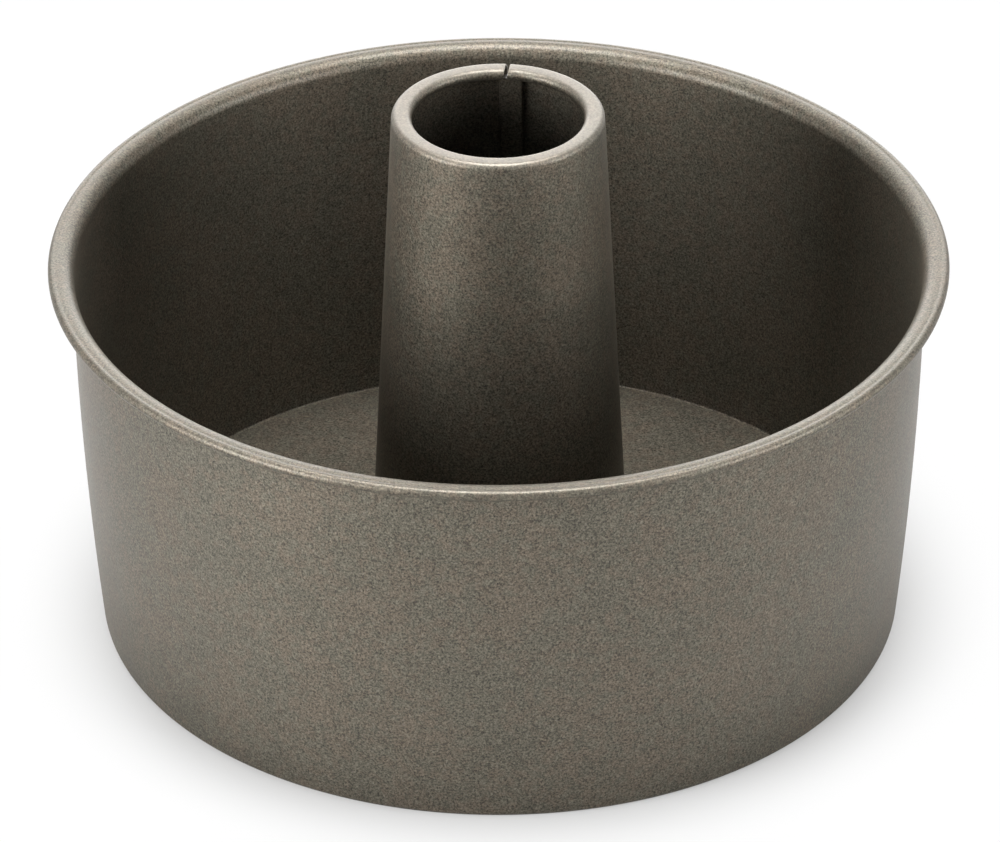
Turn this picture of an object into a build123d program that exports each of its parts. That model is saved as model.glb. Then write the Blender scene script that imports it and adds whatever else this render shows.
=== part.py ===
from build123d import *
import os
from math import asin, atan2, cos, degrees, hypot, radians, sin

# A two-piece tube pan for angel food cake, pressed and rolled from thin sheet.
#
# The outer wall is drawn with a flared rim above and a ledge turned in at its foot.  The base
# plate lies loose on that ledge.  The centre tube is clinched to the plate and lifts out with
# it, and the cake, for turning out.
#
# Lengths are millimetres and angles degrees.  +Z is up, and the origin lies on the pan's axis
# in the plane that it stands on.

# ---- Outer wall ------------------------------------------------------------------------------
wall_sheet = 0.55
rim_height = 85.2
wall_mouth_radius = 90.0  # inside, where the flare begins
wall_foot_radius = 86.4  # inside, where the foot bends in to the ledge
flare_radius = 4.4  # the flare's upper surface
edge_curl_radius = 1.2  # outside of the small curl that hides the cut edge
edge_curl_turn = 270
ledge_width = 8.0
foot_bend_radius = 0.6  # inside the bend from wall to ledge

# ---- Base plate ------------------------------------------------------------------------------
plate_sheet = 0.55
plate_side_clearance = 0.2  # to the bend at the wall's foot
plate_hole_clearance = 0.05  # round the tube's neck

# ---- Centre tube -----------------------------------------------------------------------------
tube_sheet = 0.4
tube_height = 118.55  # of its top bead, above the standing plane
tube_top_radius = 22.45  # outside, at the top bead
tube_base_radius = 28.35  # outside, at the base plate
top_bead_radius = 1.3  # outside of the two bends that roll the mouth inwards into a bead
top_bead_flat = 1.74  # level run across the bead, between those two bends
top_bead_turn = 285
shoulder_bead_radius = 1.0  # half-round bead that sits on the plate
clinch_width = 2.6  # the neck's edge, spread under the plate

# ---- Lock seam, up the back of the tube -------------------------------------------------------
seam_bearing = 81.7  # of its middle, counter-clockwise from +X
seam_width = 4.7  # across the four folded layers
seam_play = 0.08  # between one layer and the next
seam_half_sector = 9.0  # each way from the middle, where the tube runs flat into the seam
seam_head_clearance = 0.3  # from the folded layers up to the top bead
bead_gap_width = 1.1  # between the two ends of the rolled bead
bead_gap_offset = -1.1  # from the seam's middle, clockwise positive

# ---- Flats that each rolled bend is made of, fewer where it closes on itself ------------------
edge_curl_flats = 5
edge_curl_flats_inside = 3
flare_flats = 3
foot_flats = 2
foot_flats_inside = 1
shoulder_flats = 3
shoulder_flats_inside = 2
bead_shoulder_flats = 2
bead_shoulder_flats_inside = 1
bead_roll_flats = 4
bead_roll_flats_inside = 3


# ---- Heights and radii that follow from the sizes above --------------------------------------
plate_seat = wall_sheet
plate_top = plate_seat + plate_sheet
plate_radius = wall_foot_radius - foot_bend_radius - plate_side_clearance
plate_hole_radius = tube_base_radius + plate_hole_clearance

flare_centre = (wall_mouth_radius + flare_radius, rim_height - flare_radius)
curl_centre = (wall_mouth_radius + flare_radius, rim_height - edge_curl_radius)
curl_start = 90 - edge_curl_turn
ledge_radius = wall_foot_radius - ledge_width

# The wall bows in one wide arc, upright at the flare and running into the bend at its foot.
foot_centre = (wall_foot_radius - foot_bend_radius, wall_sheet + foot_bend_radius)
bow_drop = flare_centre[1] - foot_centre[1]
bow_inset = wall_mouth_radius - foot_centre[0]
bow_offset = bow_drop**2 + bow_inset**2 - foot_bend_radius**2
bow_radius = bow_offset / (2 * (wall_mouth_radius - wall_foot_radius))
bow_lean = degrees(atan2(bow_drop, bow_radius - bow_inset))

shoulder_centre = (tube_base_radius, plate_top + shoulder_bead_radius)
shoulder_top = plate_top + 2 * shoulder_bead_radius
clinch_radius = tube_base_radius + clinch_width

# The mouth's bead bends over a shoulder, runs level, and rolls under.
bead_middle_height = tube_height - top_bead_radius
bead_shoulder = (tube_top_radius - top_bead_radius, bead_middle_height)
bead_roll = (tube_top_radius - top_bead_radius - top_bead_flat, bead_middle_height)
bead_middle_radius = (bead_shoulder[0] + bead_roll[0]) / 2

# The tube's outer line runs from the bead at its foot to a tangent on that shoulder.
line_rise = bead_middle_height - shoulder_top
line_run = tube_base_radius - bead_shoulder[0]
tube_taper = atan2(line_run, line_rise) - asin(top_bead_radius / hypot(line_run, line_rise))
tube_level_sheet = tube_sheet / cos(tube_taper)  # the sheet's thickness in a level cut
seam_head = bead_middle_height - top_bead_radius - seam_head_clearance
bead_half_gap = degrees(bead_gap_width / 2 / bead_middle_radius)
bead_start = seam_bearing - degrees(bead_gap_offset / bead_middle_radius) + bead_half_gap


def bend(centre, radius, start, turn, flats):
    """Corners of a rolled bend seen in section, from a start angle through a turn."""
    corners = []
    flats = round(flats)
    for corner in range(flats + 1):
        angle = radians(start + turn * corner / flats)
        corners.append((centre[0] + radius * cos(angle), centre[1] + radius * sin(angle)))
    return corners


def rim_line(depth, curl_flats):
    """Section of the rim at a depth below the wall's inner face: edge curl, then flare."""
    return [
        *bend(curl_centre, edge_curl_radius - depth, curl_start, edge_curl_turn, curl_flats),
        *bend(flare_centre, flare_radius - depth, 90, 90, flare_flats)[1:],
    ]


def foot_line(depth, flats):
    """Section of the foot at a depth below the wall's inner face: bend, then ledge."""
    return [
        *bend(foot_centre, foot_bend_radius + depth, -bow_lean, bow_lean - 90, flats),
        (ledge_radius, wall_sheet - depth),
    ]


def bead_line(depth, shoulder_flats, roll_flats):
    """Section of the mouth's bead at a depth below the tube's outer face."""
    radius = top_bead_radius - depth
    return [
        *bend(bead_shoulder, radius, degrees(tube_taper), 90 - degrees(tube_taper), shoulder_flats),
        *bend(bead_roll, radius, 90, top_bead_turn - 90, roll_flats),
    ]


def tube_outside(height):
    """Outside radius of the tube's tapered wall at a height."""
    return tube_base_radius - (height - shoulder_top) * sin(tube_taper) / cos(tube_taper)


def tube_inside(height):
    """Inside radius of the tube's tapered wall at a height."""
    return tube_outside(height) - tube_level_sheet


neck_inside = tube_inside(shoulder_top)


def upright(bearing):
    """Plane through the pan's axis, facing along a bearing, with its own Y axis up."""
    across = radians(bearing)
    return Plane(
        origin=(0, 0, 0),
        x_dir=(cos(across), sin(across), 0),
        z_dir=(sin(across), -cos(across), 0),
    )


def seam_plane(height):
    """Level plane with its X axis along the tube's skin at the seam and its Y axis outwards."""
    across = radians(seam_bearing)
    return Plane(
        origin=(0, 0, height),
        x_dir=(sin(across), -cos(across), 0),
        z_dir=(0, 0, 1),
    )


def on_sector_edge(radius, side):
    """Point at a radius on the edge of the seam's sector, on the side -1 or +1."""
    half = radians(seam_half_sector)
    return (side * radius * sin(half), radius * cos(half))


layer_pitch = tube_sheet + seam_play


def seam_depth(height, layers, sheets=0):
    """Distance from the axis of a surface that lies some layers and sheets below the skin."""
    skin = tube_outside(height) * cos(radians(seam_half_sector))
    return skin - layers * layer_pitch - sheets * tube_sheet


def inner_flap(height):
    """Edge of the sheet that steps inwards, runs over the other edge and hooks back under it."""
    left = -seam_width / 2
    right = seam_width / 2
    step = left - seam_play
    return [
        on_sector_edge(tube_outside(height), -1),
        (step, seam_depth(height, 0)),
        (step, seam_depth(height, 3)),
        (right - tube_sheet, seam_depth(height, 3)),
        (right - tube_sheet, seam_depth(height, 1, 1)),
        (left + layer_pitch, seam_depth(height, 1, 1)),
        (left + layer_pitch, seam_depth(height, 1)),
        (right, seam_depth(height, 1)),
        (right, seam_depth(height, 3, 1)),
        (step - tube_sheet, seam_depth(height, 3, 1)),
        (step - tube_sheet, seam_depth(height, 0, 1)),
        on_sector_edge(tube_inside(height), -1),
    ]


def outer_flap(height):
    """Edge of the sheet that keeps the skin's line and hooks inwards through the other hook."""
    left = -seam_width / 2
    right = seam_width / 2
    return [
        on_sector_edge(tube_outside(height), 1),
        (left, seam_depth(height, 0)),
        (left, seam_depth(height, 2, 1)),
        (right - layer_pitch, seam_depth(height, 2, 1)),
        (right - layer_pitch, seam_depth(height, 2)),
        (left + tube_sheet, seam_depth(height, 2)),
        (left + tube_sheet, seam_depth(height, 0, 1)),
        on_sector_edge(tube_inside(height), 1),
    ]


# ---- Outer wall: one drawn sheet, from the edge curl down to the ledge -------------------------
with BuildPart() as outer_wall:
    foot_face = foot_line(0, foot_flats_inside)
    foot_back = foot_line(wall_sheet, foot_flats)
    with BuildSketch(Plane.XZ):
        with BuildLine():
            rim_face = Polyline(*rim_line(0, edge_curl_flats))
            rim_back = Polyline(*rim_line(wall_sheet, edge_curl_flats_inside))
            foot = Polyline(*foot_face, *reversed(foot_back))
            Line(rim_face @ 0, rim_back @ 0)
            TangentArc(rim_face @ 1, foot @ 0, tangent=(0, -1))
            TangentArc(rim_back @ 1, foot @ 1, tangent=(0, -1))
        make_face()
    revolve(axis=Axis.Z)

# ---- Base plate: a loose disc, held round the tube's neck -------------------------------------
with BuildPart() as base_plate:
    with BuildSketch(Plane.XY.offset(plate_seat)):
        Circle(plate_radius)
        Circle(plate_hole_radius, mode=Mode.SUBTRACT)
    extrude(amount=plate_sheet)

# ---- Centre tube: one sheet rolled to a taper and locked to itself up the back ----------------
with BuildPart() as centre_tube:
    # Neck: clinched under the plate, up through its hole, and out into the shoulder bead.
    shoulder_inside = shoulder_bead_radius - tube_sheet
    with BuildSketch(Plane.XZ):
        with BuildLine():
            Polyline(
                (clinch_radius, plate_seat - tube_sheet),
                (clinch_radius, plate_seat),
                (tube_base_radius, plate_seat),
                *bend(shoulder_centre, shoulder_bead_radius, -90, 180, shoulder_flats),
                (neck_inside, shoulder_top),
                (neck_inside, shoulder_top - tube_sheet),
                *bend(shoulder_centre, shoulder_inside, 90, -180, shoulder_flats_inside),
                (neck_inside, plate_top + tube_sheet),
                (neck_inside, plate_seat - tube_sheet),
                close=True,
            )
        make_face()
    revolve(axis=Axis.Z)

    # Tapered wall, as far round as the seam's sector.
    with BuildSketch(upright(seam_bearing + seam_half_sector)):
        with BuildLine():
            Polyline(
                (tube_outside(shoulder_top), shoulder_top),
                (tube_outside(seam_head), seam_head),
                (tube_inside(seam_head), seam_head),
                (tube_inside(shoulder_top), shoulder_top),
                close=True,
            )
        make_face()
    revolve(axis=Axis.Z, revolution_arc=360 - 2 * seam_half_sector)

    # Lock seam: the two edges of the sheet, hooked through each other.
    for flap in (inner_flap, outer_flap):
        for height in (shoulder_top, seam_head):
            with BuildSketch(seam_plane(height)):
                with BuildLine():
                    Polyline(*flap(height), close=True)
                make_face()
        loft(ruled=True)

    # Mouth: the last of the wall and the bead rolled inwards from it, open at the seam.
    bead_face = bead_line(0, bead_shoulder_flats, bead_roll_flats)
    bead_back = bead_line(tube_sheet, bead_shoulder_flats_inside, bead_roll_flats_inside)
    with BuildSketch(upright(bead_start)):
        with BuildLine():
            Polyline(
                (tube_inside(seam_head), seam_head),
                (tube_outside(seam_head), seam_head),
                *bead_face,
                *reversed(bead_back),
                close=True,
            )
        make_face()
    revolve(axis=Axis.Z, revolution_arc=360 - 2 * bead_half_gap)

# ---- Names and files ---------------------------------------------------------------------------
os.makedirs("parts", exist_ok=True)
outer_wall.part.label = "outer_wall"
base_plate.part.label = "base_plate"
centre_tube.part.label = "centre_tube"
for piece in (outer_wall, base_plate, centre_tube):
    export_step(piece.part, f"parts/{piece.part.label}.step")
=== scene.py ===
from math import asin, atan2, copysign, cos, degrees, hypot, radians, sin, tan

import bmesh
import bpy
from bpy.props import FloatProperty, FloatVectorProperty, PointerProperty
from bpy.types import Operator, Panel, PropertyGroup
from mathutils import Matrix, Vector


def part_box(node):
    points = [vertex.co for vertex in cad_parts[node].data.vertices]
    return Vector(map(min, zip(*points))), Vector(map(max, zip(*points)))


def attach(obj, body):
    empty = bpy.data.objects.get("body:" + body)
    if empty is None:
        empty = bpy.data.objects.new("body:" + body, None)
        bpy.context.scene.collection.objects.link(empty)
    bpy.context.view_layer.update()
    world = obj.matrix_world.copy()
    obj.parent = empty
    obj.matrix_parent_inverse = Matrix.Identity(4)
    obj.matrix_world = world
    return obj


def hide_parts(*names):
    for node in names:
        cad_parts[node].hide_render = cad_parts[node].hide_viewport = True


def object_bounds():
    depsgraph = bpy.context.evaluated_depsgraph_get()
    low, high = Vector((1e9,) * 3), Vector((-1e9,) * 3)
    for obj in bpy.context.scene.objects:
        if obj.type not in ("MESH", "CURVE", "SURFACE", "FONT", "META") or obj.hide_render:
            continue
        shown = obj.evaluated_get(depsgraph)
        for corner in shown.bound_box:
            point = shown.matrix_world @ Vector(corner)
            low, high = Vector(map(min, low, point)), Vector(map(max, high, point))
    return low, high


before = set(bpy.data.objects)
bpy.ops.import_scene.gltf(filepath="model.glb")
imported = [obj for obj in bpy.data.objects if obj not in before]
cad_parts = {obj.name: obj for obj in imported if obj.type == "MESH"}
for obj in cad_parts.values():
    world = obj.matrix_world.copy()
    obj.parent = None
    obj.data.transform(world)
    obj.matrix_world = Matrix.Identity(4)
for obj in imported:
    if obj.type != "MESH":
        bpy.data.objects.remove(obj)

bl_info = {
    "name": "Angel Food Cake Pan",
    "version": (1, 0),
    "blender": (4, 5, 0),
    "location": "3D View > Sidebar > Cake Pan",
    "description": "Builds a loose-based tube pan of coated sheet steel on its CAD frame, with its studio",
    "category": "Add Mesh",
}

MM = 0.001  # metres, as are all lengths
IMAGE_WIDTH = 1000  # pixels, of the picture that the camera is fitted to

EASED_EDGE = 0.08 * MM  # bevel of the cut edges
EDGE_SUPPORT = 0.12 * MM  # from a cut edge to the next point of the sheet
SHORT_RUN_SHARE = 0.4  # the same where the sheet bends close by, as a share of that first run
CORNER_FROM = 60  # degrees between faces that meet at a cut edge
JOINT_LAP = 0.02 * MM  # how far the mouth's skin runs down over the tapered wall's
SMOOTH_UP_TO = 38  # degrees between faces that are shaded as one

WALL_STEPS = 240  # round the pan
PLATE_STEPS = 180  # round the plate
SKIN_STEPS = 114  # round the tube, from one side of its seam to the other
NECK_STEPS = 5  # round the neck, across the seam's sector
SEAM_ROWS = 8  # up the tapered part of the tube
SEAM_LAYERS = 4  # of the sheet, one on another
CURL_STEPS = 20  # along the section of each bend, from here on
FLARE_STEPS = 12
BOW_STEPS = 14
BEND_STEPS = 5
SHOULDER_STEPS = 9
ROLL_STEPS = 18
BEAD_STEPS = 10

# patterns in the finishes, whose noise varies about its middle value
NOISE_MIDDLE = 0.5
DRIFT_IN_HUE = 0.4  # the rest of the hue's pattern is small clouds
HUE_EDGES = (0.42, 0.58)  # values of that pattern at the coolest hue and at the warmest
HUE_DEPTH = 0.45  # how far it tints the coating
GRAIN_EDGES = (0.3, 0.7)  # noise at the darkest grain and at the lightest
DRIFT_CONTRAST = 0.2
FLECKS_ABOVE = 0.975  # cells of the flake pattern that are bright metal
FLECK_DEPTH = 0.14
PITS_BELOW = 0.12  # cells that are dark
PIT_DEPTH = 0.4
WEAR_AND_HIGHLIGHT_CHANGE = 0.6  # from the least rubbed and lit cloud of a crest to the most; this lightening is rubbed metal and a painted highlight
ROUGHER_BY_GRAIN = 0.16
ROUGHER_BY_DRIFT = 0.08
SMOOTHER_BY_WEAR_AND_HIGHLIGHT = 0.10
SHEAR_LINES = 3200.0  # in the cut edges, per metre
SHEAR_DARK = 0.7  # of the bare steel's colour, in the darkest line
SHEAR_ROUGHNESS = 0.3
ROUGHER_BY_LINES = 0.2

LAMP_DISTANCE = 1.38  # from the middle of the floor
FLOOR_REACH = 6.0  # half the width of the floor
FLOOR_GAP = 0.05 * MM  # how far the paper lies under the ledge, so that the two never mix
PAPER = (0.5, 0.5, 0.5)
WHITE = (1.0, 1.0, 1.0)
SHADOW_EDGES = (0.07, 0.115)  # from the axis, as the camera sees the floor: inside, grey paper with the pan's real shadow and a painted shade ring; outside, its white
MIRROR_EDGES = (0.16, 0.8)  # the same, as the coating mirrors the floor: painted shade under and round the pan in its reflections
HORIZON = (0.12, 0.7)  # heights on the unit sphere between which the room grows dim

cad_low, cad_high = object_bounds()
wall_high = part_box("outer_wall")[1]
plate_low, plate_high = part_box("base_plate")
tube_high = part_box("centre_tube")[1]


# ---- Sizes and colours that a user may change ---------------------------------------------------
def length(name, description, default):
    """A length in metres, for a property group."""
    return FloatProperty(
        name=name, description=description, default=default, precision=5, unit="LENGTH"
    )


def turn(name, description, default):
    """An angle in degrees, for a property group."""
    return FloatProperty(name=name, description=description, default=default)


def share(name, description, default):
    """A number from 0 to 1, for a property group."""
    return FloatProperty(
        name=name, description=description, default=default, min=0, max=1, subtype="FACTOR"
    )


def amount(name, description, default):
    """A plain number, for a property group."""
    return FloatProperty(name=name, description=description, default=default)


def power(name, description, default):
    """A lamp's power in watts, for a property group."""
    return FloatProperty(name=name, description=description, default=default, unit="POWER")


def colour(name, description, default):
    """A linear colour, for a property group."""
    return FloatVectorProperty(
        name=name, description=description, default=default, min=0, max=1, subtype="COLOR"
    )


class PanWall(PropertyGroup):
    """Sizes of the outer wall."""

    sheet: length("Sheet", "Thickness of the wall's sheet", 0.55 * MM)
    rim_radius: length("Rim radius", "Outside of the edge curl", wall_high.x)
    rim_height: length("Rim height", "Top of the rim above the floor", wall_high.z)
    mouth_radius: length("Mouth radius", "Inside, where the flare begins", 90.0 * MM)
    foot_radius: length("Foot radius", "Inside, where the foot bends in", 86.4 * MM)
    flare_radius: length("Flare radius", "Upper surface of the rim's flare", 3.1 * MM)
    curl_radius: length("Edge curl radius", "Outside of the curl on the rim", 1.1 * MM)
    curl_turn: turn("Edge curl turn", "How far round the edge is curled", 290)
    groove_side: turn("Groove side", "How far the curl turns down into the rim's groove", 30)
    flare_side: turn("Flare side", "How far the flare turns down into the groove", 10)
    bend_radius: length("Foot bend radius", "Inside the bend at the foot", 0.6 * MM)
    ledge_width: length("Ledge width", "How far the foot is turned in", 8.0 * MM)


class PanBase(PropertyGroup):
    """Sizes of the base plate and of the tube's neck."""

    plate_radius: length("Plate radius", "Outside of the base plate", plate_high.x)
    hole_radius: length("Hole radius", "Hole for the tube's neck", 28.4 * MM)
    shoulder_radius: length("Shoulder bead radius", "Half-round bead on the plate", 1.0 * MM)
    clinch_width: length("Clinch width", "Neck's edge, spread under the plate", 2.6 * MM)
    clinch_bend: length("Clinch bend", "Where the neck is spread", 0.3 * MM)
    neck_bend: length("Neck bend", "Where the neck meets its bead", 0.15 * MM)


class PanTube(PropertyGroup):
    """Sizes of the centre tube."""

    sheet: length("Sheet", "Thickness of the tube's sheet", 0.4 * MM)
    height: length("Height", "Top of the mouth's bead above the floor", tube_high.z)
    top_radius: length("Top radius", "Outside, at the mouth's bead", 22.45 * MM)
    base_radius: length("Base radius", "Outside, at the base plate", 28.35 * MM)
    bead_radius: length("Bead radius", "Outside of the bead's two bends", 1.3 * MM)
    bead_flat: length("Bead flat", "Level run between the bead's bends", 1.74 * MM)
    bead_turn: turn("Bead turn", "How far round the mouth is rolled", 300)
    seam_bearing: turn("Seam bearing", "Middle of the seam, from the X axis", 81.7)
    seam_width: length("Seam width", "Across the folded layers", 4.7 * MM)
    seam_end: length("Seam end", "From the bead's bend down to the seam's layers", 0.3 * MM)
    seam_play: length("Seam play", "Between one folded layer and the next", 0.08 * MM)
    seam_sector: turn("Seam sector", "Each way, where the tube runs flat", 9.0)
    fold_radius: length("Fold radius", "Middle of the sheet in the seam's folds", 0.36 * MM)
    gap_width: length("Bead gap", "Between the two ends of the bead", 0.9 * MM)
    gap_offset: length("Gap offset", "From the seam's middle, clockwise", -0.6 * MM)
    gap_slant: turn("Gap slant", "How far the gap leans round the tube", 2.5)


class PanFinish(PropertyGroup):
    """Look of the coating and of the bare cut edges."""

    coating: colour("Coating", "Middle colour of the coating", (0.105, 0.0915, 0.0700))
    warm: colour("Warm cloud", "Browner parts of the coating", (0.113, 0.0905, 0.068))
    cool: colour("Cool cloud", "Greener parts of the coating", (0.096, 0.094, 0.073))
    # the flecks' colour is also the colour of the painted highlight on the crests
    fleck_and_highlight: colour("Fleck", "Bright metal grains in the coating", (0.34, 0.31, 0.27))
    pit: colour("Pit", "Dark grains in the coating", (0.035, 0.030, 0.025))
    metallic: share("Metallic", "How far the coating acts as a metal", 0.87)
    roughness: share("Roughness", "Spread of the coating's reflections", 0.56)
    binder: share("Binder", "Clear binder over the coating's metal grains", 0.22)
    binder_roughness: share("Binder roughness", "Spread of the binder's reflections", 0.3)
    # These two shares lighten each crest's colour towards the flecks' metal, down to the crest depth:
    # partly rubbed metal, partly a painted highlight
    rim_wear_and_highlight: share("Rim wear", "How far the wall's crest is rubbed bright", 0.12)
    mouth_wear_and_highlight: share("Mouth wear", "How far the tube's crest is rubbed bright", 0.36)
    crest_depth: length("Crest depth", "How far down the rubbed crest reaches", 0.9 * MM)
    relief: length("Relief", "Depth of the coating's texture", 0.04 * MM)
    drift_scale: amount("Drift scale", "Broad changes of shade, per metre", 60.0)
    cloud_scale: amount("Cloud scale", "Small clouds of hue, per metre", 420.0)
    peel_scale: amount("Orange peel scale", "Soft waves in the coating, per metre", 900.0)
    grain_scale: amount("Grain scale", "Fine grain, per metre", 2300.0)
    flake_scale: amount("Flake scale", "Metal flakes and dark pits, per metre", 2600.0)
    grain_contrast: amount("Grain contrast", "How strongly the grain shades the coating", 1.8)
    bare_steel: colour("Bare steel", "Sheared edges of the sheet", (0.55, 0.53, 0.50))


class PanStudio(PropertyGroup):
    """Camera and light of the studio."""

    focal_pixels: amount("Focal length", "In pixels of the fitted picture", 5994.0)
    elevation: turn("Elevation", "Of the camera above the floor", 32.044)
    distance: length("Distance", "From the camera to the point that it looks at", 1.2945)
    target_height: length("Target height", "Of the point that the camera looks at", 0.04252)
    roll: turn("Roll", "Of the camera about its line of sight", -0.257)
    shift: amount("Shift", "Of the picture, sideways", 0.0006)
    left_power: power("Left", "Power of the left lamp", 30.5)
    right_power: power("Right", "Power of the right lamp", 16.5)
    back_power: power("Back", "Power of the lamp behind", 15.0)
    top_power: power("Top", "Power of the lamp above", 32.5)
    ceiling: share("Ceiling", "Strength of the room's light from above", 0.15)
    floor_white: share("White floor", "How far the floor round the pan is shown white", 0.97)
    mirror_white: share("Mirrored white", "The same, as the coating mirrors the floor", 0.95)


# ---- Sheet-metal forms --------------------------------------------------------------------------
def arc(centre, radius, start, sweep, steps):
    """Points of an arc, from its start angle through its sweep in degrees."""
    angles = [radians(start + sweep * step / steps) for step in range(steps + 1)]
    return [Vector(centre) + radius * Vector((cos(angle), sin(angle))) for angle in angles]


def rounded(corners):
    """A line through corners given as (x, y, radius), with an arc at each inner one."""
    points = [Vector(corners[0][:2])]
    for before, here, after in zip(corners, corners[1:], corners[2:]):
        corner, radius = Vector(here[:2]), here[2]
        arrive = (corner - Vector(before[:2])).normalized()
        leave = (Vector(after[:2]) - corner).normalized()
        sweep = atan2(arrive.cross(leave), arrive.dot(leave))
        inward = Vector((-arrive.y, arrive.x)) * copysign(1, sweep)
        start = corner - arrive * radius * tan(abs(sweep) / 2)
        centre = start + inward * radius
        first = degrees(atan2(-inward.y, -inward.x))
        points += arc(centre, radius, first, degrees(sweep), BEND_STEPS)
    points.append(Vector(corners[-1][:2]))
    return points


def close_to_end(end, beside):
    """A point on a line close to its end, clear of the eased edge and of the next point."""
    run = beside - end
    return end + run.normalized() * min(EDGE_SUPPORT, SHORT_RUN_SHARE * run.length)


def two_faces(line, thickness):
    """Both faces of a sheet whose middle follows a line in section.

    A point close to each end keeps the eased cut edge from bending the light further in.
    """
    first = close_to_end(line[0], line[1])
    last = close_to_end(line[-1], line[-2])
    line = [line[0], first, *line[1:-1], last, line[-1]]
    runs = [(after - before).normalized() for before, after in zip(line, line[1:])]
    left, right = [], []
    for point, arrive, leave in zip(line, runs[:1] + runs, runs + runs[-1:]):
        along = (arrive + leave).normalized()
        across = Vector((-along.y, along.x)) * (thickness / 2 / along.dot(leave))
        left.append(point + across)
        right.append(point - across)
    return left, right


def full_turn(steps):
    """Bearings in degrees, evenly all the way round."""
    return [360 * step / steps for step in range(steps)]


def turned(line, thickness, bearings, closed=True, slant=0):
    """Grids of both faces of a sheet turned through bearings about the pan's axis.

    The slant is how far they lean round the axis from the line's first point to its last.
    """
    grids = []
    for side in two_faces(line, thickness):
        rows = []
        for bearing in bearings:
            row = []
            for place, point in enumerate(side):
                across = radians(bearing + slant * place / (len(side) - 1))
                row.append((point.x * cos(across), point.x * sin(across), point.y))
            rows.append(row)
        grids.append(rows)
    return grids[0], grids[1], closed


def sheet_piece(name, parts, finishes, body, node, joints=()):
    """One object of sheet metal from pairs of grids, with its cut edges closed and eased.

    Joints are the heights where one pair of grids runs on into the next without a cut edge.
    """
    points, quads, cuts = [], [], []
    for face, back, closed in parts:
        rows, columns, base = len(face), len(face[0]), len(points)
        points += [point for grid in (face, back) for row in grid for point in row]

        def index(side, row, column):
            """Number of a point of the two grids."""
            return base + (side * rows + row % rows) * columns + column

        for row in range(rows if closed else rows - 1):
            for column in range(columns - 1):
                quad = [(row, column), (row + 1, column), (row + 1, column + 1), (row, column + 1)]
                quads.append([index(0, *corner) for corner in quad])
                quads.append([index(1, *corner) for corner in reversed(quad)])
            for column in (0, columns - 1):
                ends = [(0, row), (0, row + 1), (1, row + 1), (1, row)]
                cuts.append([index(side, place, column) for side, place in ends])
        if not closed:
            for row in (0, rows - 1):
                for column in range(columns - 1):
                    ends = [(0, column), (0, column + 1), (1, column + 1), (1, column)]
                    cuts.append([index(side, row, place) for side, place in ends])
    mesh = bpy.data.meshes.new(name)
    mesh.from_pydata(points, [], quads + cuts)
    for polygon in mesh.polygons[len(quads) :]:
        polygon.material_index = 1
    form = bmesh.new()
    form.from_mesh(mesh)
    bmesh.ops.recalc_face_normals(form, faces=form.faces)
    corners = []
    for edge in form.edges:
        heights = [end.co.z for end in edge.verts]
        joined = any(max(abs(z - joint) for z in heights) < 2 * JOINT_LAP for joint in joints)
        if edge.calc_face_angle(0) > radians(CORNER_FROM) and not joined:
            corners.append(edge)
    bmesh.ops.bevel(form, geom=corners, offset=EASED_EDGE, segments=2, profile=0.5, affect="EDGES")
    form.to_mesh(mesh)
    form.free()
    mesh.shade_smooth()
    mesh.set_sharp_from_angle(angle=radians(SMOOTH_UP_TO))
    for finish in finishes:
        mesh.materials.append(finish)
    piece = bpy.data.objects.new(name, mesh)
    bpy.context.collection.objects.link(piece)
    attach(piece, body)
    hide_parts(node)
    return piece


# ---- Shader maths -------------------------------------------------------------------------------
class Signal:
    """A shader socket that takes part in plain arithmetic."""

    def __init__(self, socket):
        self.socket = socket

    def maths(self, operation, first, second):
        """A Math node on two signals or numbers."""
        node = self.socket.id_data.nodes.new("ShaderNodeMath")
        node.operation = operation
        for slot, value in zip(node.inputs, (first, second)):
            plug(slot, value)
        return Signal(node.outputs[0])

    def __add__(self, other):
        return self.maths("ADD", self, other)

    def __radd__(self, other):
        return self.maths("ADD", other, self)

    def __sub__(self, other):
        return self.maths("SUBTRACT", self, other)

    def __rsub__(self, other):
        return self.maths("SUBTRACT", other, self)

    def __mul__(self, other):
        return self.maths("MULTIPLY", self, other)

    def __rmul__(self, other):
        return self.maths("MULTIPLY", other, self)

    def __gt__(self, other):
        return self.maths("GREATER_THAN", self, other)


def plug(slot, value):
    """Sets a socket to a number or colour, or links a signal to it."""
    if isinstance(value, Signal):
        slot.id_data.links.new(value.socket, slot)
    elif hasattr(value, "__len__") and len(value) == 3 and slot.type == "RGBA":
        slot.default_value = (*value, 1)
    else:
        slot.default_value = value


class Finish:
    """The node tree of one material or of the world."""

    def __init__(self, owner):
        owner.use_nodes = True
        self.owner = owner
        self.tree = owner.node_tree
        self.tree.nodes.clear()

    def add(self, kind, settings=(), output="", **sockets):
        """A node of a kind, its settings made first and then its sockets set or linked."""
        node = self.tree.nodes.new("ShaderNode" + kind)
        for name, value in dict(settings).items():
            setattr(node, name, value)
        for name, value in sockets.items():
            words = (name, name.replace("_", " "))
            slots = [slot for slot in node.inputs if slot.enabled]
            named = [slot for slot in slots if slot.identifier in words or slot.name in words]
            plug(named[0], value)
        for slot in node.outputs:
            if slot.enabled and output in ("", slot.name):
                return Signal(slot)
        return None

    def ramp(self, value, low, high, bottom=0.0, top=1.0):
        """A value taken softly from one range to another and kept inside it."""
        return self.add(
            "MapRange",
            {"interpolation_type": "SMOOTHSTEP"},
            Value=value,
            From_Min=low,
            From_Max=high,
            To_Min=bottom,
            To_Max=top,
        )

    def noise(self, place, scale, **sockets):
        """Cloudy noise at a place."""
        return self.add("TexNoise", Vector=place, Scale=scale, **sockets)

    def mix(self, factor, first, second):
        """A mix of two colours."""
        return self.add("Mix", {"data_type": "RGBA"}, Factor=factor, A=first, B=second)


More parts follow.
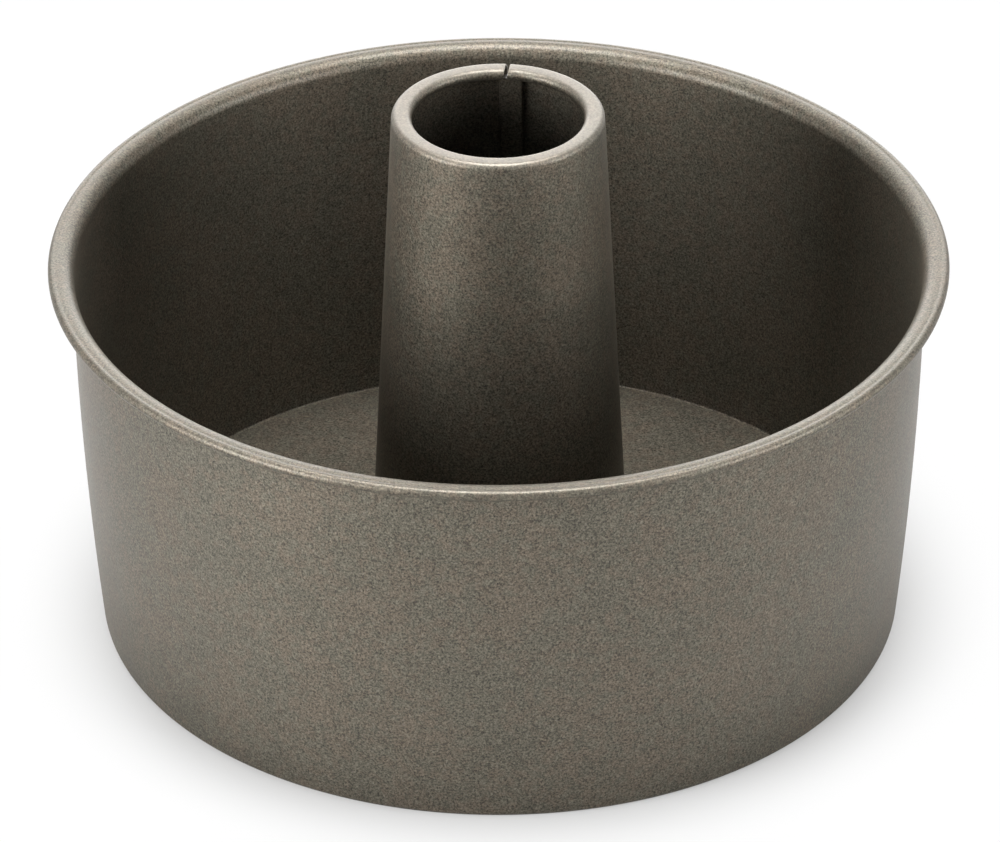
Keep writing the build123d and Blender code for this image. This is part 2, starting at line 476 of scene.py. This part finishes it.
# ---- Finishes -----------------------------------------------------------------------------------
def coated_steel(name, finish, crest_height, wear_and_highlight):
    """Satin non-stick coating with metal grain, lighter by a share on the crest: partly rubbed metal,
    partly a painted highlight.
    """
    made = Finish(bpy.data.materials.new(name))
    place = made.add("TexCoord", output="Object")
    clouds = made.noise(place, finish.cloud_scale, Detail=3.0, Roughness=0.6)
    drift = made.noise(place, finish.drift_scale, Detail=3.0, Roughness=0.6)
    grain = made.noise(place, finish.grain_scale, Detail=3.0, Roughness=0.75)
    flakes = made.add("TexVoronoi", Vector=place, Scale=finish.flake_scale, output="Color")
    flake = made.add("SeparateColor", Color=flakes)  # the red of each cell's random colour
    orange_peel = made.noise(place, finish.peel_scale, Detail=2.0, Roughness=0.5)

    hue = drift * DRIFT_IN_HUE + clouds * (1.0 - DRIFT_IN_HUE)
    tint = made.mix(made.ramp(hue, *HUE_EDGES), finish.cool, finish.warm)
    base = made.mix(HUE_DEPTH, finish.coating, tint)
    darkest, lightest = GRAIN_EDGES
    speckle = made.add(
        "MapRange", Value=grain, From_Min=darkest, From_Max=lightest, To_Min=-0.5, To_Max=0.5
    )
    drifted = (drift - NOISE_MIDDLE) * DRIFT_CONTRAST
    shade = speckle * finish.grain_contrast + drifted + 1.0
    graded = made.add(
        "HueSaturation", Hue=0.5, Saturation=1.0, Value=shade, Fac=1.0, Color=base
    )
    bright = made.mix((flake > FLECKS_ABOVE) * FLECK_DEPTH, graded, finish.fleck_and_highlight)
    pitted = made.mix((PITS_BELOW - flake > 0.0) * PIT_DEPTH, bright, finish.pit)

    # Painted highlight, partly rubbed metal: the crest is lightened towards the flecks' colour by height,
    # and made smoother
    height = made.add("SeparateXYZ", Vector=place, output="Z")
    foot = crest_height - finish.crest_depth
    crest = made.add("MapRange", Value=height, From_Min=foot, From_Max=crest_height)
    worn_and_lit = crest * wear_and_highlight * (1.0 - WEAR_AND_HIGHLIGHT_CHANGE / 2 + clouds * WEAR_AND_HIGHLIGHT_CHANGE)
    skin = made.mix(worn_and_lit, pitted, finish.fleck_and_highlight)
    uneven = (grain - NOISE_MIDDLE) * ROUGHER_BY_GRAIN
    broad = (drift - NOISE_MIDDLE) * ROUGHER_BY_DRIFT
    rough = finish.roughness + uneven + broad - worn_and_lit * SMOOTHER_BY_WEAR_AND_HIGHLIGHT
    relief = grain * 0.5 + orange_peel * 0.5
    bump = made.add("Bump", Height=relief, Strength=0.5, Distance=finish.relief)
    surface = made.add(
        "BsdfPrincipled",
        Base_Color=skin,
        Metallic=finish.metallic,
        Roughness=rough,
        Coat_Weight=finish.binder,
        Coat_Roughness=finish.binder_roughness,
        Normal=bump,
    )
    made.add("OutputMaterial", Surface=surface)
    return made.owner


def cut_steel(finish):
    """Bare steel of the sheared edges, with fine lines across the sheet."""
    made = Finish(bpy.data.materials.new("cut_steel_edge"))
    place = made.add("TexCoord", output="Object")
    lines = made.noise(place, SHEAR_LINES, Detail=2.0, Roughness=0.6)
    dark = [SHEAR_DARK * part for part in finish.bare_steel]
    tone = made.mix(lines, dark, finish.bare_steel)
    bump = made.add("Bump", Height=lines, Strength=0.2, Distance=0.03 * MM)
    surface = made.add(
        "BsdfPrincipled",
        Base_Color=tone,
        Metallic=1.0,
        Roughness=SHEAR_ROUGHNESS + lines * ROUGHER_BY_LINES,
        Normal=bump,
    )
    made.add("OutputMaterial", Surface=surface)
    return made.owner


# ---- Operators ----------------------------------------------------------------------------------
class PAN_OT_outer_wall(Operator):
    """Build the drawn outer wall with its flared rim, edge curl and ledge"""

    bl_idname = "pan.outer_wall"
    bl_label = "Outer Wall"

    def execute(self, context):
        wall = context.scene.pan_wall
        half = wall.sheet / 2
        curl_centre = (wall.rim_radius - wall.curl_radius, wall.rim_height - wall.curl_radius)
        flare_centre = (
            wall.mouth_radius + wall.flare_radius,
            wall.rim_height - wall.flare_radius,
        )
        foot_centre = (wall.foot_radius - wall.bend_radius, wall.sheet + wall.bend_radius)
        drop = flare_centre[1] - foot_centre[1]
        inset = wall.mouth_radius - foot_centre[0]
        # the wall's bow is tangent to the flare above it and to the foot's bend below
        bow = (drop**2 + inset**2 - wall.bend_radius**2) / (
            2 * (wall.mouth_radius - wall.foot_radius)
        )
        bow_centre = (wall.mouth_radius - bow, flare_centre[1])
        lean = degrees(atan2(drop, bow - inset))
        flare_middle = wall.flare_radius - half
        curl_start = 90 - wall.curl_turn
        curl_turn = wall.curl_turn + wall.groove_side
        flare_start = 90 - wall.flare_side
        line = [
            *arc(curl_centre, wall.curl_radius - half, curl_start, curl_turn, CURL_STEPS),
            *arc(flare_centre, flare_middle, flare_start, 180 - flare_start, FLARE_STEPS),
            *arc(bow_centre, bow + half, 0, -lean, BOW_STEPS)[1:],
            *arc(foot_centre, wall.bend_radius + half, -lean, lean - 90, BEND_STEPS)[1:],
            Vector((wall.foot_radius - wall.ledge_width, half)),
        ]
        finish = context.scene.pan_finish
        coat = coated_steel("coated_wall_steel", finish, wall.rim_height, finish.rim_wear_and_highlight)
        finishes = (coat, cut_steel(finish))
        grids = turned(line, wall.sheet, full_turn(WALL_STEPS))
        sheet_piece("outer_wall_sheet", [grids], finishes, "wall", "outer_wall")
        return {"FINISHED"}


class PAN_OT_base_plate(Operator):
    """Build the loose base plate with its hole for the tube's neck"""

    bl_idname = "pan.base_plate"
    bl_label = "Base Plate"

    def execute(self, context):
        base = context.scene.pan_base
        thickness = plate_high.z - plate_low.z
        middle = (plate_high.z + plate_low.z) / 2
        line = [Vector((base.hole_radius, middle)), Vector((base.plate_radius, middle))]
        finish = context.scene.pan_finish
        coat = coated_steel("coated_plate_steel", finish, cad_high.z, 0)
        finishes = (coat, cut_steel(finish))
        grids = turned(line, thickness, full_turn(PLATE_STEPS))
        sheet_piece(
            "base_plate_disc", [grids], finishes, "lifting_base", "base_plate"
        )
        return {"FINISHED"}


class PAN_OT_centre_tube(Operator):
    """Build the tapered tube with its lock seam, rolled mouth and clinched neck"""

    bl_idname = "pan.centre_tube"
    bl_label = "Centre Tube"

    def execute(self, context):
        tube = context.scene.pan_tube
        base = context.scene.pan_base
        half = tube.sheet / 2
        shoulder_top = plate_high.z + 2 * base.shoulder_radius
        bead_height = tube.height - tube.bead_radius
        bead_shoulder = (tube.top_radius - tube.bead_radius, bead_height)
        bead_roll = (bead_shoulder[0] - tube.bead_flat, bead_height)
        rise = bead_height - shoulder_top
        run = tube.base_radius - bead_shoulder[0]
        taper = atan2(run, rise) - asin(tube.bead_radius / hypot(run, rise))
        seam_head = bead_height - tube.bead_radius - tube.seam_end

        def skin(height):
            """Radius of the middle of the tube's sheet at a height."""
            return tube.base_radius - half - (height - shoulder_top) * tan(taper)

        mouth_foot = seam_head - JOINT_LAP
        bead_bend = tube.bead_radius - half
        shoulder_start = degrees(taper)
        mouth = [
            Vector((skin(mouth_foot), mouth_foot)),
            *arc(bead_shoulder, bead_bend, shoulder_start, 90 - shoulder_start, SHOULDER_STEPS),
            *arc(bead_roll, bead_bend, 90, tube.bead_turn - 90, ROLL_STEPS),
        ]
        bead_middle = (bead_shoulder[0] + bead_roll[0]) / 2
        half_gap = degrees(tube.gap_width / 2 / bead_middle)
        gap = tube.seam_bearing - degrees(tube.gap_offset / bead_middle)
        neck_radius = skin(shoulder_top)
        bead_low = (tube.base_radius, plate_high.z + half)
        bead_high = (tube.base_radius, shoulder_top - half)
        shoulder_middle = (tube.base_radius, plate_high.z + base.shoulder_radius)
        clinch = (neck_radius, plate_low.z - half)
        neck = [
            *rounded(
                [
                    (tube.base_radius + base.clinch_width, clinch[1], 0),
                    (*clinch, base.clinch_bend),
                    (neck_radius, bead_low[1], base.neck_bend),
                    (*bead_low, 0),
                ]
            ),
            *arc(shoulder_middle, base.shoulder_radius - half, -90, 180, BEAD_STEPS)[1:],
            *rounded(
                [
                    (*bead_high, 0),
                    (neck_radius, bead_high[1], base.neck_bend),
                    (neck_radius, shoulder_top, 0),
                ]
            )[1:],
        ]
        clear = tube.seam_sector
        skin_turn = 360 - 2 * clear
        round_skin = [
            tube.seam_bearing + clear + skin_turn * step / SKIN_STEPS
            for step in range(SKIN_STEPS + 1)
        ]
        neck_step = 2 * clear / (NECK_STEPS + 1)
        round_neck = round_skin + [
            round_skin[-1] + neck_step * step for step in range(1, NECK_STEPS + 1)
        ]
        past_gap = gap + half_gap
        before_gap = gap + 360 - half_gap
        round_mouth = [past_gap, (past_gap + round_skin[0]) / 2, *round_skin]
        round_mouth += [(round_skin[-1] + before_gap) / 2, before_gap]
        parts = [
            self.seamed_wall(tube, skin, shoulder_top, seam_head),
            turned(mouth, tube.sheet, round_mouth, False, tube.gap_slant),
            turned(neck, tube.sheet, round_neck),
        ]
        finish = context.scene.pan_finish
        coat = coated_steel("coated_tube_steel", finish, tube.height, finish.mouth_wear_and_highlight)
        finishes = (coat, cut_steel(finish))
        sheet_piece(
            "centre_tube_sheet",
            parts,
            finishes,
            "lifting_base",
            "centre_tube",
            joints=(shoulder_top, seam_head),
        )
        return {"FINISHED"}

    def seamed_wall(self, tube, skin, low, high):
        """Grids of the tapered wall, whose two edges are hooked through each other."""
        bearing = radians(tube.seam_bearing)
        out = Vector((cos(bearing), sin(bearing), 0))
        aside = Vector((sin(bearing), -cos(bearing), 0))
        half = tube.sheet / 2
        pitch = tube.sheet + tube.seam_play
        left = -tube.seam_width / 2
        right = tube.seam_width / 2
        step = left - tube.seam_play - half
        faces, backs = [], []
        for row in range(SEAM_ROWS + 1):
            height = low + (high - low) * row / SEAM_ROWS
            radius = skin(height)
            level = radius * cos(radians(tube.seam_sector))
            edge = radius * sin(radians(tube.seam_sector))
            layer = [level - depth * pitch for depth in range(SEAM_LAYERS)]
            bend = tube.fold_radius
            inner_hook = [
                (left + pitch, layer[1], 0),
                (right - half, layer[1], bend),
                (right - half, layer[3], bend),
                (step, layer[3], bend),
                (step, layer[0], bend),
                (-edge, level, 0),
            ]
            outer_hook = [
                (edge, level, 0),
                (left + half, layer[0], bend),
                (left + half, layer[2], bend),
                (right - pitch, layer[2], 0),
            ]
            start = 90 + tube.seam_sector
            skin_line = arc((0, 0), radius, start, 360 - 2 * tube.seam_sector, SKIN_STEPS)
            line = [*rounded(inner_hook), *skin_line[1:-1], *rounded(outer_hook)]
            face, back = two_faces(line, tube.sheet)
            lift = Vector((0, 0, height))
            faces.append([aside * point.x + out * point.y + lift for point in face])
            backs.append([aside * point.x + out * point.y + lift for point in back])
        return faces, backs, False


class PAN_OT_stage(Operator):
    """Set the floor, the lamps, the room's light and the camera"""

    bl_idname = "pan.stage"
    bl_label = "Studio"

    def execute(self, context):
        studio = context.scene.pan_studio
        self.floor(studio)
        self.lamp("left_lamp", studio.left_power, bearing=-57, lift=17, size=(0.8, 0.8))
        self.lamp("right_lamp", studio.right_power, bearing=65, lift=18, size=(0.85, 0.8))
        self.lamp("back_lamp", studio.back_power, bearing=180, lift=22, size=(1.3, 0.9))
        self.lamp("top_lamp", studio.top_power, bearing=180, lift=88, size=(0.7, 0.6))
        self.room(context, studio)
        self.camera(context, studio)
        return {"FINISHED"}

    def floor(self, studio):
        """A wide pale floor that shows white, held back near the pan as painted shade, and keeps the pan's
        shadow.
        """
        mesh = bpy.data.meshes.new("studio_floor")
        sides = [(-1, -1), (1, -1), (1, 1), (-1, 1)]
        corners = [(x * FLOOR_REACH, y * FLOOR_REACH, -FLOOR_GAP) for x, y in sides]
        mesh.from_pydata(corners, [], [(0, 1, 2, 3)])
        made = Finish(bpy.data.materials.new("studio_floor_paper"))
        paper = made.add("BsdfDiffuse", Color=PAPER)
        white = made.add("Emission", Color=WHITE, Strength=1.0)
        place = made.add("TexCoord", output="Object")
        reach = made.add("VectorMath", {"operation": "LENGTH"}, output="Value", Vector=place)
        looked_at = made.add("LightPath", output="Is Camera Ray")
        reflected = made.add("LightPath", output="Is Glossy Ray") + made.add(
            "LightPath", output="Is Transmission Ray"
        )
        # Near the pan the white is held back by distance from the axis: painted shade round and under the
        # pan, seen directly and in the coating's reflections
        direct = looked_at * made.ramp(reach, *SHADOW_EDGES, 0.0, studio.floor_white)
        mirrored = reflected * made.ramp(reach, *MIRROR_EDGES, 0.0, studio.mirror_white)
        lifted = made.add("MixShader", Fac=direct + mirrored, Shader=paper, Shader_001=white)
        made.add("OutputMaterial", Surface=lifted)
        mesh.materials.append(made.owner)
        floor = bpy.data.objects.new("studio_floor", mesh)
        bpy.context.collection.objects.link(floor)

    def lamp(self, name, power, bearing, lift, size):
        """A soft rectangular lamp that faces the pan, by its bearing from the camera's side."""
        light = bpy.data.lights.new(name, "AREA")
        light.shape = "RECTANGLE"
        light.size, light.size_y = size
        light.energy = power
        lamp = bpy.data.objects.new(name, light)
        turn_to = Matrix.Rotation(radians(bearing), 3, "Z") @ Matrix.Rotation(radians(-lift), 3, "X")
        lamp.location = LAMP_DISTANCE * (turn_to @ Vector((0, -1, 0)))
        lamp.rotation_euler = (-lamp.location).to_track_quat("-Z", "Y").to_euler()
        bpy.context.collection.objects.link(lamp)

    def room(self, context, studio):
        """A room that is paper white at the horizon and dim overhead."""
        world = bpy.data.worlds.new("studio_room")
        context.scene.world = world
        made = Finish(world)
        direction = made.add("TexCoord", output="Generated")
        lift = made.add("SeparateXYZ", output="Z", Vector=direction)
        dimmed = made.ramp(lift, *HORIZON, 1.0, studio.ceiling)
        light = made.add("Background", Color=WHITE, Strength=dimmed)
        made.add("OutputWorld", Surface=light)

    def camera(self, context, studio):
        """The camera at the photograph's place and angle."""
        lens = bpy.data.cameras.new("studio_camera")
        lens.sensor_width = 36
        lens.lens = studio.focal_pixels / IMAGE_WIDTH * lens.sensor_width
        lens.shift_x = studio.shift
        lens.clip_start = 0.05
        lens.clip_end = 30
        camera = bpy.data.objects.new("studio_camera", lens)
        lift = radians(studio.elevation)
        target = Vector((0, 0, studio.target_height))
        camera.location = target + studio.distance * Vector((0, -cos(lift), sin(lift)))
        aim = (target - camera.location).to_track_quat("-Z", "Y").to_matrix()
        camera.rotation_euler = (aim @ Matrix.Rotation(radians(studio.roll), 3, "Z")).to_euler()
        context.collection.objects.link(camera)
        context.scene.camera = camera
        context.scene.view_settings.view_transform = "Standard"


class PAN_PT_builder(Panel):
    """Lists the pan's pieces in the sidebar"""

    bl_idname = "PAN_PT_builder"
    bl_label = "Angel Food Cake Pan"
    bl_space_type = "VIEW_3D"
    bl_region_type = "UI"
    bl_category = "Cake Pan"

    def draw(self, context):
        for maker in MAKERS:
            self.layout.operator(maker.bl_idname)
        for name in GROUPS:
            group = getattr(context.scene, name)
            box = self.layout.box()
            for size in group.bl_rna.properties:
                if size.identifier not in {"name", "rna_type"}:
                    box.prop(group, size.identifier)


GROUPS = {
    "pan_wall": PanWall,
    "pan_base": PanBase,
    "pan_tube": PanTube,
    "pan_finish": PanFinish,
    "pan_studio": PanStudio,
}
MAKERS = (PAN_OT_outer_wall, PAN_OT_base_plate, PAN_OT_centre_tube, PAN_OT_stage)


def register():
    for group in (*GROUPS.values(), *MAKERS, PAN_PT_builder):
        bpy.utils.register_class(group)
    for name, group in GROUPS.items():
        setattr(bpy.types.Scene, name, PointerProperty(type=group))


def unregister():
    for name in GROUPS:
        delattr(bpy.types.Scene, name)
    for group in (PAN_PT_builder, *MAKERS, *GROUPS.values()):
        bpy.utils.unregister_class(group)


def main():
    register()
    bpy.ops.pan.outer_wall()
    bpy.ops.pan.base_plate()
    bpy.ops.pan.centre_tube()
    bpy.ops.pan.stage()


if __name__ == "__main__":
    main()
